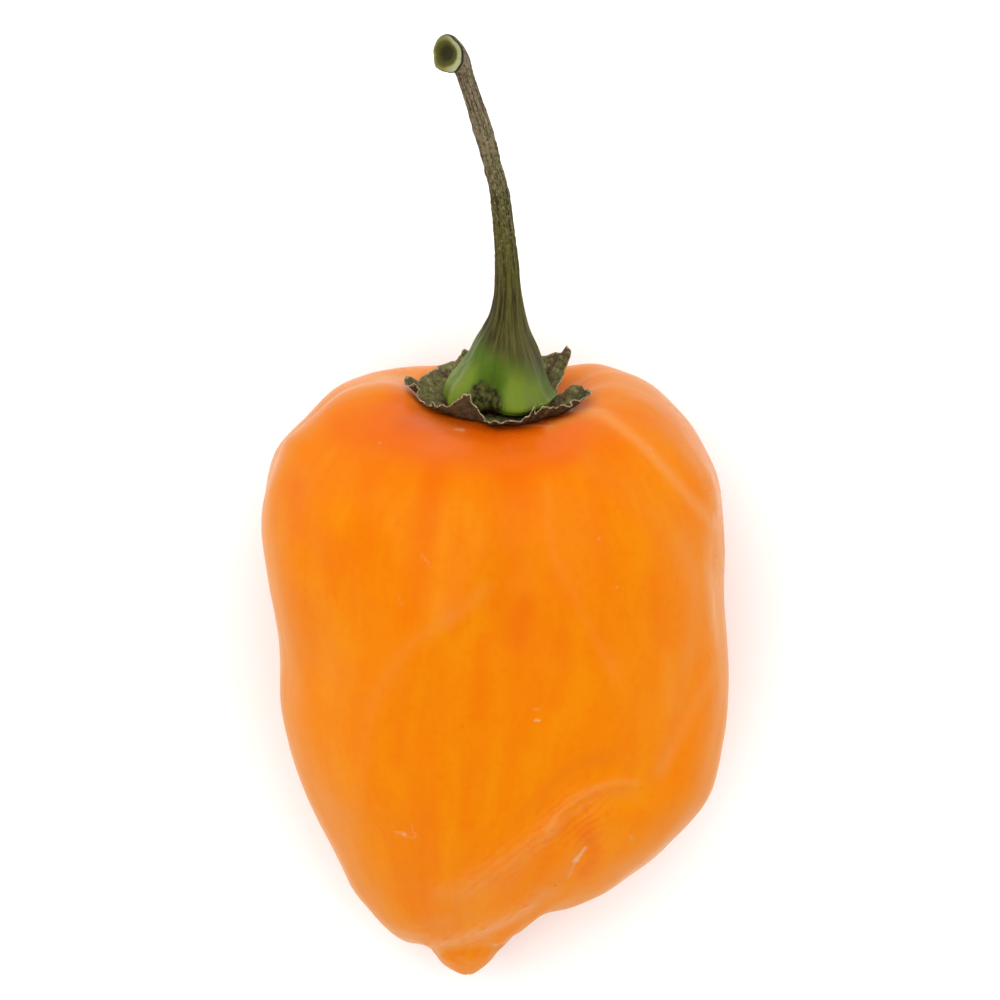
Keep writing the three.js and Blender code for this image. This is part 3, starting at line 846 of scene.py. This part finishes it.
# The sepals' rim as seen from above, by x and y from the seat, with how far to the front it stands. It
# starts at the left tip and passes the front.
RIM = [
    (-6.65, 2.35, -0.8),
    (-6.39, 1.93, -0.2),
    (-5.91, 1.88, 0.6),
    (-5.50, 1.60, 1.2),
    (-5.72, 1.09, 1.4),
    (-5.17, 0.64, 1.9),
    (-4.80, 0.50, 2.2),
    (-4.68, 0.82, 2.3),
    (-4.31, 0.21, 2.7),
    (-3.83, 0.42, 3.0),
    (-2.95, 0.68, 3.5),
    (-2.58, 0.91, 3.8),
    (-2.26, 1.24, 4.1),
    (-1.84, 1.28, 4.3),
    (-1.75, 0.79, 4.5),
    (-1.61, 0.45, 4.6),
    (-1.15, 0.05, 4.9),
    (-0.73, -0.39, 5.1),
    (-0.69, -0.69, 5.3),
    (-0.04, -0.76, 5.4),
    (0.53, -0.91, 5.6),
    (1.09, -0.76, 5.5),
    (1.75, -0.76, 5.5),
    (2.32, -0.47, 5.4),
    (2.69, -0.02, 5.2),
    (2.96, 0.39, 5.0),
    (3.16, -0.14, 5.2),
    (3.65, 0.44, 4.8),
    (4.27, 0.23, 4.6),
    (4.60, 0.13, 4.4),
    (4.97, 0.50, 4.0),
    (5.60, 0.39, 3.7),
    (5.75, 0.72, 3.4),
    (6.39, 0.81, 3.0),
    (7.08, 1.09, 2.4),
    (6.93, 1.39, 1.9),
    (6.56, 1.83, 1.4),
    (5.97, 1.92, 0.9),
    (5.65, 1.66, 0.4),
    (5.34, 1.39, 0.0),
    (4.81, 1.09, -0.3),
    (4.64, 1.75, -1.0),
    (5.01, 2.35, -1.8),
    (5.28, 3.24, -2.7),
    (5.45, 3.68, -3.2),
    (5.68, 4.34, -3.5),
    (5.38, 4.83, -3.7),
    (5.08, 4.35, -3.9),
    (4.54, 4.30, -4.2),
    (3.75, 4.05, -4.4),
    (3.16, 4.14, -4.6),
    (1.90, 3.45, -5.0),
    (0.80, 3.10, -5.2),
    (-0.70, 3.20, -5.1),
    (-2.09, 4.57, -4.6),
    (-2.54, 4.12, -4.4),
    (-2.86, 3.75, -4.2),
    (-3.97, 3.41, -3.7),
    (-4.68, 2.90, -3.0),
    (-5.20, 2.67, -2.3),
    (-5.82, 2.30, -1.6),
    (-6.33, 2.67, -1.2),
]
CALYX_COLUMNS = 900
CALYX_ROWS = 46
CALYX_INNER = 0.3
CALYX_GAP = 0.12
CALYX_SHEET = 0.16
CALYX_RIM_SHEET = 0.07
CALYX_CLEARANCE = 0.03
CALYX_THINNEST = 0.06

crinkle = Noise(SEED + 1)


def calyx_grid():
    """The collar's middle surface, by row from the stem out to the rim."""
    outline = np.array(RIM)
    outline_height = (outline[:, 1] + outline[:, 2] * math.sin(LEAN)) / math.cos(LEAN)
    outline = np.stack([outline[:, 0], outline[:, 2], outline_height], axis=-1)
    rim = spline(outline, CALYX_COLUMNS, closed=True)
    run = np.concatenate([[0.0], np.cumsum(np.linalg.norm(np.diff(rim, axis=0), axis=1))])
    turn = run / (run[-1] + np.linalg.norm(rim[0] - rim[-1])) * 2 * np.pi
    ragged = np.stack([np.cos(turn) * 7, np.sin(turn) * 7, np.zeros(CALYX_COLUMNS)], axis=-1)
    ragged_share = 0.3 + 0.7 * smoothstep(-1.8, 0.6, rim[:, 1])
    reach = (0.025 * crinkle(ragged, 0.7) + 0.022 * crinkle(ragged + 30.0, 0.28)) * ragged_share
    wave = (0.16 * crinkle(ragged + 60.0, 0.5) + 0.16 * crinkle(ragged + 75.0, 0.24)) * ragged_share
    rim_floor = np.array([skin_height(x, f) for x, f, _ in rim])
    lift = np.maximum(rim[:, 2] - rim_floor - CALYX_GAP, 0.05)
    shares = CALYX_INNER + (1.0 - CALYX_INNER) * (np.linspace(0.0, 1.0, CALYX_ROWS) ** 0.75)
    bend = 0.45 + 0.29 * smoothstep(0.5, 3.0, rim[:, 1])
    grid = np.zeros((CALYX_ROWS, CALYX_COLUMNS, 3))
    for row, share in enumerate(shares):
        out = share * (1.0 + reach * share**6)
        x = STEM_CENTRE_X + out * (rim[:, 0] - STEM_CENTRE_X)
        f = out * rim[:, 1]
        curl = smoothstep(bend, 1.1, share) / smoothstep(bend, 1.1, 1.0)
        floor_height = np.array([skin_height(a, b) for a, b in zip(x, f)])
        ripple = wave * share**5 * np.minimum(lift, 0.8)
        height = floor_height + CALYX_GAP + curl * lift + np.maximum(ripple, -0.6 * curl * lift)
        grid[row] = np.stack([x, f, height], axis=-1)
    return grid, shares


def crumple(grid, shares):
    """Folds and veins pressed into the dry sheet, stronger towards its rim."""
    spread = shares[:, None] ** 2.0 * (0.45 + 0.55 * smoothstep(-1.8, 0.6, grid[..., 1]))
    flat = grid.copy()
    flat[..., 2] *= 0.6
    up = 0.14 * crinkle(flat, 1.2) + 0.10 * crinkle(flat + 20.0, 0.55) + 0.05 * crinkle(flat + 50.0, 0.26)
    turn = np.arctan2(grid[..., 1], grid[..., 0] - STEM_CENTRE_X)
    veins = 0.05 * np.cos(turn * 17 + 2.0 * crinkle(flat + 90.0, 2.5))
    moved = grid.copy()
    moved[..., 2] += (up + veins) * spread + 0.03
    return moved


def ring_faces(rows, columns):
    """Quads of a grid that closes both ways, like a ring."""
    return [
        (
            row * columns + column,
            (row + 1) % rows * columns + column,
            (row + 1) % rows * columns + (column + 1) % columns,
            row * columns + (column + 1) % columns,
        )
        for row in range(rows)
        for column in range(columns)
    ]


def build_calyx():
    """The collar's vertices, faces and attributes: its rim, under side, withered tips and grain."""
    base, shares = calyx_grid()
    sheet = crumple(base, shares)
    normals = grid_normals(sheet)
    normals *= np.sign(normals[..., 2].mean())
    near_rim = smoothstep(0.9, 1.0, shares[:, None, None])
    half_sheet = (CALYX_SHEET + (CALYX_RIM_SHEET - CALYX_SHEET) * near_rim) / 2
    top = sheet + normals * half_sheet
    bottom = sheet - normals * half_sheet
    over_skin = base[..., 2] - CALYX_GAP + CALYX_CLEARANCE
    bottom[..., 2] = np.maximum(bottom[..., 2], np.minimum(over_skin, top[..., 2] - CALYX_THINNEST))
    rows = np.concatenate([bottom, top[::-1]])
    edge = np.concatenate([shares, shares[::-1]]).repeat(CALYX_COLUMNS)
    under = np.concatenate([np.ones(CALYX_ROWS), np.zeros(CALYX_ROWS)]).repeat(CALYX_COLUMNS)
    outer = smoothstep(5.2, 6.8, np.hypot(rows[..., 0] - STEM_CENTRE_X, rows[..., 1])).ravel()
    attributes = {"edge": edge, "under": under, "outer": outer, "grain": rows.reshape(-1, 3)}
    return to_world(rows).reshape(-1, 3), ring_faces(len(rows), CALYX_COLUMNS), attributes


SEPAL_OLIVE = (0.140, 0.130, 0.040)
SEPAL_GREY = (0.270, 0.246, 0.120)
SEPAL_BROWN = (0.095, 0.058, 0.026)
SEPAL_DARK = (0.026, 0.022, 0.010)
SEPAL_UNDER = (0.092, 0.060, 0.028)
SEPAL_WITHERED = (0.040, 0.030, 0.015)
SEPAL_RIM = (0.46, 0.39, 0.23)


def calyx_material():
    n = Nodes("dry_sepals")
    grain = n.attribute("grain", "Vector")
    edge = n.attribute("edge")
    blotches = n.noise(grain, 0.7, 3.0, 0.6)
    mottle = n.noise(grain, 2.6, 5.0, 0.75)
    flecks = n.noise(grain, 7.0, 3.0, 0.7)
    colour = n.mix(n.remap(blotches, 0.42, 0.62), SEPAL_OLIVE, SEPAL_BROWN)
    colour = n.mix(n.remap(mottle, 0.5, 0.66, 0.0, 0.85), colour, SEPAL_DARK)
    colour = n.mix(n.remap(mottle, 0.48, 0.34, 0.0, 0.85), colour, SEPAL_GREY)
    colour = n.mix(n.remap(flecks, 0.58, 0.68, 0.0, 0.5), colour, SEPAL_GREY)
    withered = n.times(n.attribute("outer"), n.remap(mottle, 0.35, 0.6, 0.5, 0.95))
    colour = n.mix(withered, colour, SEPAL_WITHERED)
    under = n.mix(n.remap(mottle, 0.45, 0.62, 0.0, 0.8), SEPAL_UNDER, SEPAL_DARK)
    colour = n.mix(n.times(n.attribute("under"), 0.9), colour, under)
    rim = n.remap(n.math("ADD", edge, n.wander(n.noise(grain, 2.6, 3.0), 0.09)), 0.982, 1.0)
    rim = n.times(rim, n.remap(flecks, 0.38, 0.58, 0.15, 0.95))
    colour = n.mix(rim, colour, SEPAL_RIM)
    bump = n.bump(n.noise(grain, 4.0, 4.0, 0.7), 0.16, 1.0)
    return n.finish(
        Base_Color=colour,
        Roughness=n.remap(mottle, 0.3, 0.7, 0.62, 0.85),
        Normal=bump,
        Specular_IOR_Level=0.2,
    )


calyx_vertices, calyx_faces, calyx_attributes = build_calyx()
calyx = new_piece("calyx_sepals", calyx_vertices, calyx_faces, calyx_material(), calyx_attributes)
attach(calyx, "root")
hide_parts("calyx")


# ---------------------------------------------------------------- the stem

# The stalk's middle line, as (x, f, h) from the seat, with its radius.
STEM_LINE = [
    (0.37, 0.0, 0.75, 3.60),
    (0.37, 0.0, 1.15, 4.00),
    (0.40, 0.0, 1.70, 3.90),
    (0.52, 0.0, 2.60, 3.35),
    (0.66, 0.0, 3.70, 2.84),
    (0.76, 0.0, 4.90, 2.34),
    (0.86, 0.05, 6.10, 1.80),
    (0.96, 0.1, 7.20, 1.38),
    (0.99, 0.15, 8.40, 1.12),
    (0.97, 0.2, 9.60, 0.96),
    (0.88, 0.3, 11.9, 0.84),
    (0.66, 0.4, 14.3, 0.75),
    (0.34, 0.5, 17.0, 0.70),
    (-0.15, 0.65, 19.0, 0.69),
    (-0.60, 0.85, 20.9, 0.70),
    (-1.25, 1.1, 23.1, 0.66),
    (-1.88, 1.45, 25.1, 0.64),
    (-2.24, 1.80, 26.3, 0.65),
    (-2.48, 2.30, 27.2, 0.80),
    (-2.82, 2.95, 27.88, 0.99),
    (-3.14, 3.50, 28.24, 1.20),
    (-3.32, 3.80, 28.32, 1.25),
]
STEM_ROWS = 430
STEM_COLUMNS = 168

# The foot's lobes and its dent, as (bearing, size), where bearing 0 is the right and 90 the front.
FOOT_LOBES = [
    (36, 0.42),
    (71, 0.55),
    (139, 0.52),
    (178, 0.32),
    (218, 0.36),
    (258, 0.4),
    (300, 0.34),
    (338, 0.3),
]
FOOT_LOBE_WIDTH = 15.0
FOOT_DENTS = [(105, 0.8)]
FOOT_DENT_WIDTH = 14.0

# The dark recess in the foot's front, corky and darkened with painted shade, as (x, f, h) from the seat,
# and its reach each way.
PIT_PLACE = np.array([-0.72, 3.5, 1.45])
PIT_SIZE = np.array([1.35, 2.4, 1.6])

# The cut knob's outline, as its radius at bearings that run from the right towards the foot.
KNOB = [
    (8, 1.11),
    (35, 1.28),
    (75, 1.50),
    (100, 1.42),
    (137, 1.52),
    (170, 1.26),
    (226, 1.32),
    (261, 1.36),
    (300, 1.02),
    (344, 1.06),
]
KNOB_MEAN = 1.21
KNOB_LIP_ROWS = 30

# The cut face's rings: their share of the knob's radius and how far they sink.
CUT_RINGS = [
    (0.985, -0.06),
    (0.955, -0.08),
    (0.93, -0.04),
    (0.87, 0.05),
    (0.79, 0.14),
    (0.69, 0.26),
    (0.57, 0.42),
    (0.43, 0.56),
    (0.28, 0.64),
    (0.13, 0.66),
]

# The pith lies this far to the left of the knob's middle.
PITH_SHIFT = 0.5

stalk = Noise(SEED + 2)


def stem_frames(line):
    """The line's samples with two directions across it, carried along without twisting."""
    along = unit(np.gradient(line, axis=0))
    across = np.zeros_like(line)
    across[0] = (1.0, 0.0, 0.0)
    for i in range(len(line)):
        last = across[max(i - 1, 0)]
        across[i] = unit(last - along[i] * (last @ along[i]))
    return along, across, np.cross(along, across)


def knobs_round(bearings, knobs, width):
    """The total of rounded swellings, given as (bearing, size), at each bearing."""
    total = np.zeros(len(bearings))
    for bearing, size in knobs:
        total += size * falloff((bearings - bearing + 180) % 360 - 180, width)
    return total


def bark(turn, height):
    """How ribs, fibres, corky lumps and kinks scale the stalk's radius, and the fibres alone."""
    unrolled = np.stack(
        np.broadcast_arrays(np.cos(turn)[None] * 2.2, np.sin(turn)[None] * 2.2, height[:, None] * 0.16),
        axis=-1,
    )
    ribs = 0.05 * np.cos(5 * turn + 0.6)[None] * (1.0 - smoothstep(4.0, 12.0, height))[:, None]
    fibres = 0.055 * stalk(unrolled, 0.55) + 0.03 * stalk(unrolled + 30.0, 0.24)
    fibre_share = smoothstep(1.5, 6.0, height)[:, None]
    lumps = unrolled * np.array([1.0, 1.0, 7.0])
    corky = 0.06 * stalk(lumps + 60.0, 0.6) * smoothstep(12.0, 18.0, height)[:, None]
    grit = unrolled * np.array([1.0, 1.0, 12.0])
    corky += 0.06 * stalk(grit + 90.0, 0.5) * smoothstep(8.0, 14.0, height)[:, None]
    kinks = 0.035 * stalk(np.stack([height, height * 0, height * 0], axis=-1) + 9.0, 2.2)[:, None]
    return 1.0 + ribs + fibres * (0.25 + 0.75 * fibre_share) + corky + kinks * fibre_share, fibres


def knob_outline(bearings, along, across, other):
    """The knob's outline over its mean, turned back by as much as the bent stalk's frame has turned."""
    level = unit(RIGHT - along[-1] * along[-1, 0])
    arrived = math.degrees(math.atan2(level @ other[-1], level @ across[-1]))
    knob_bearings, sizes = np.array(KNOB).T
    return np.interp(bearings - arrived, knob_bearings, sizes, period=360.0) / KNOB_MEAN


def build_stem():
    """The stalk's vertices, faces and attributes: its height, cut, painted light and shade on the foot's
    lobes, grain, recess and side.
    """
    samples = spline(STEM_LINE, STEM_ROWS)
    line, radius = samples[:, :3], samples[:, 3]
    along, across, other = stem_frames(line)
    turn = np.linspace(0.0, 2 * np.pi, STEM_COLUMNS, endpoint=False)
    bearings = np.degrees(turn)
    height = line[:, 2] - line[0, 2]

    foot = knobs_round(bearings, FOOT_LOBES, FOOT_LOBE_WIDTH)
    foot -= knobs_round(bearings, FOOT_DENTS, FOOT_DENT_WIDTH)
    low_part = 1.0 - smoothstep(0.6, 4.2, height)
    swell, fibres = bark(turn, height)
    knob = smoothstep(25.6, 27.2, height)[:, None]
    swell = (1.0 - knob) * swell + knob * (knob_outline(bearings, along, across, other) + 0.3 * fibres)
    wide = radius[:, None] * swell + foot * low_part[:, None]
    # Painted light and shade on the foot: lighter over its lobes, darker between them and in its dent.
    lobe_shading = np.maximum(foot, -0.4) * 2.0 * low_part[:, None]

    def ring(middle, width, row):
        out = width * np.cos(turn), width * np.sin(turn)
        return middle + out[0][:, None] * across[row] + out[1][:, None] * other[row]

    sides = np.array([ring(line[row], wide[row], row) for row in range(STEM_ROWS)])
    face = np.array(
        [
            ring(line[-1] - along[-1] * sink - RIGHT * PITH_SHIFT * (1.0 - share), wide[-1] * share, -1)
            for share, sink in CUT_RINGS
        ]
    )
    face = face + 0.03 * stalk(face, 0.5)[..., None] * along[-1]
    local = np.concatenate([[line[0]], sides.reshape(-1, 3), face.reshape(-1, 3), [face[-1].mean(0)]])

    rows = STEM_ROWS + len(CUT_RINGS)
    lip = smoothstep(STEM_ROWS - KNOB_LIP_ROWS, STEM_ROWS, np.arange(STEM_ROWS)) - 1.0
    cut = np.concatenate([lip, [1.0 - share for share, _ in CUT_RINGS]])
    lift = np.concatenate([height, np.full(len(CUT_RINGS), height[-1])])
    grain = np.stack(np.broadcast_arrays(np.cos(turn), np.sin(turn), lift[:, None] * 0.1), axis=-1)
    pit_away = np.linalg.norm((local - PIT_PLACE) / PIT_SIZE, axis=-1)

    def all_over(values, first, last):
        return np.concatenate([[first], values, [last]])

    attributes = {
        "lift": all_over(lift.repeat(STEM_COLUMNS), 0.0, height[-1]),
        "cut": all_over(cut.repeat(STEM_COLUMNS), 0.0, 1.0),
        "lobe_shading": np.concatenate([[0.0], lobe_shading.ravel(), np.zeros(len(CUT_RINGS) * STEM_COLUMNS + 1)]),
        "grain": all_over(grain.reshape(-1, 3), [0.0, 0.0, 0.0], [0.0, 0.0, 3.0]),
        "pit": 1.0 - smoothstep(0.35, 1.35, pit_away + 0.2 * stalk(local + 5.0, 0.45)),
        "side": local[:, 0],
    }
    return to_world(local), grid_faces(rows, STEM_COLUMNS), attributes


STEM_GREEN = (0.060, 0.112, 0.0065)
STEM_LIT_GREEN = (0.122, 0.172, 0.014)
STEM_OLIVE = (0.040, 0.034, 0.008)
STEM_MOSS = (0.080, 0.076, 0.016)
STEM_BROWN = (0.175, 0.138, 0.080)
STEM_DARK_BROWN = (0.052, 0.039, 0.018)
STEM_TAN = (0.36, 0.30, 0.21)
STEM_BLACK = (0.011, 0.010, 0.004)
STEM_PIT_SHADE = (0.014, 0.016, 0.005)
CUT_RIM = (0.33, 0.34, 0.175)
CUT_FLESH = (0.20, 0.18, 0.055)
CUT_PITH = (0.030, 0.027, 0.010)
CUT_LIP = (0.028, 0.018, 0.010)


def stem_material():
    n = Nodes("green_stalk")
    grain = n.attribute("grain", "Vector")
    lift = n.attribute("lift")
    cut = n.attribute("cut")
    place = n.place()
    fibres = n.noise(n.scaled(grain, (4.5, 4.5, 2.2)), 1.0, 5.0, 0.7)
    blotches = n.noise(n.scaled(grain, (1.6, 1.6, 5.0)), 1.0, 3.0, 0.6)
    specks = n.noise(n.scaled(grain, (5.0, 5.0, 24.0)), 1.0, 4.0, 0.75)
    side = n.attribute("side")
    level = n.math("ADD", n.math("ADD", lift, n.wander(fibres, 4.0)), n.times(side, 0.4))
    lobe_shading = n.math("ADD", n.attribute("lobe_shading"), n.wander(blotches, 0.9))
    # Painted light and shade: the foot's lobes lighter green, the dark green between them.
    green = n.mix(n.remap(lobe_shading, -0.1, 0.6), STEM_GREEN, STEM_LIT_GREEN)
    green = n.mix(n.remap(fibres, 0.52, 0.3, 0.0, 0.35), green, STEM_OLIVE)
    olive = n.mix(n.remap(fibres, 0.42, 0.6), STEM_OLIVE, STEM_MOSS)
    olive = n.mix(n.remap(fibres, 0.46, 0.36, 0.0, 0.8), olive, STEM_BLACK)
    brown = n.mix(n.remap(fibres, 0.42, 0.56), STEM_DARK_BROWN, STEM_BROWN)
    colour = n.mix(n.remap(level, 3.0, 5.2), green, olive)
    colour = n.mix(n.remap(level, 14.0, 22.5), colour, brown)
    tan_specks = n.times(n.remap(specks, 0.54, 0.68), n.remap(lift, 9.0, 17.0))
    colour = n.mix(n.times(tan_specks, 0.75), colour, STEM_TAN)
    dark_specks = n.times(n.remap(specks, 0.44, 0.32), n.remap(lift, 4.0, 12.0))
    colour = n.mix(n.times(dark_specks, 0.7), colour, STEM_BLACK)
    flakes = n.noise(place, 3600.0, 4.0, 0.7)
    barky = n.remap(lift, 6.0, 16.0)
    colour = n.mix(n.times(n.remap(flakes, 0.54, 0.68, 0.0, 0.4), barky), colour, STEM_TAN)
    colour = n.mix(n.times(n.remap(flakes, 0.48, 0.36, 0.0, 0.6), barky), colour, STEM_BLACK)
    shade = n.noise(place, 1700.0, 4.0, 0.75)
    # Painted shade in the recess: near black, with mossy and tan corky specks.
    tissue = n.mix(n.remap(shade, 0.42, 0.6), STEM_PIT_SHADE, STEM_MOSS)
    tissue = n.mix(n.remap(shade, 0.64, 0.72, 0.0, 0.5), tissue, STEM_TAN)
    ragged = n.math("ADD", n.attribute("pit"), n.wander(shade, 0.6))
    colour = n.mix(n.remap(ragged, 0.05, 0.6), colour, tissue)
    ring = n.math("ADD", cut, n.wander(n.noise(place, 900.0, 3.0), 0.25))
    ring = n.math("ADD", ring, n.remap(side, -4.4, -2.2, 0.17, -0.17))
    flesh = n.mix(n.remap(side, -3.9, -2.9), CUT_FLESH, CUT_RIM)
    face = n.mix(n.remap(ring, 0.2, 0.42), flesh, STEM_MOSS)
    face = n.mix(n.remap(ring, 0.4, 0.74), face, CUT_PITH)
    colour = n.mix(n.remap(cut, -0.6, -0.1), colour, CUT_LIP)
    colour = n.mix(n.remap(cut, 0.03, 0.07), colour, face)
    bump = n.bump(fibres, 0.16, 0.7)
    bump = n.bump(n.noise(place, 3000.0, 3.0, 0.6), 0.05, 0.5, bump)
    return n.finish(
        Base_Color=colour,
        Roughness=n.remap(lift, 3.0, 12.0, 0.45, 0.78),
        Normal=bump,
        Specular_IOR_Level=0.12,
        Subsurface_Weight=0.08,
        Subsurface_Scale=0.0008,
        Subsurface_Radius=(0.6, 1.0, 0.3),
    )


stem_vertices, stem_faces, stem_attributes = build_stem()
stem = new_piece("stem_stalk", stem_vertices, stem_faces, stem_material(), stem_attributes)
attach(stem, "root")
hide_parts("stem")
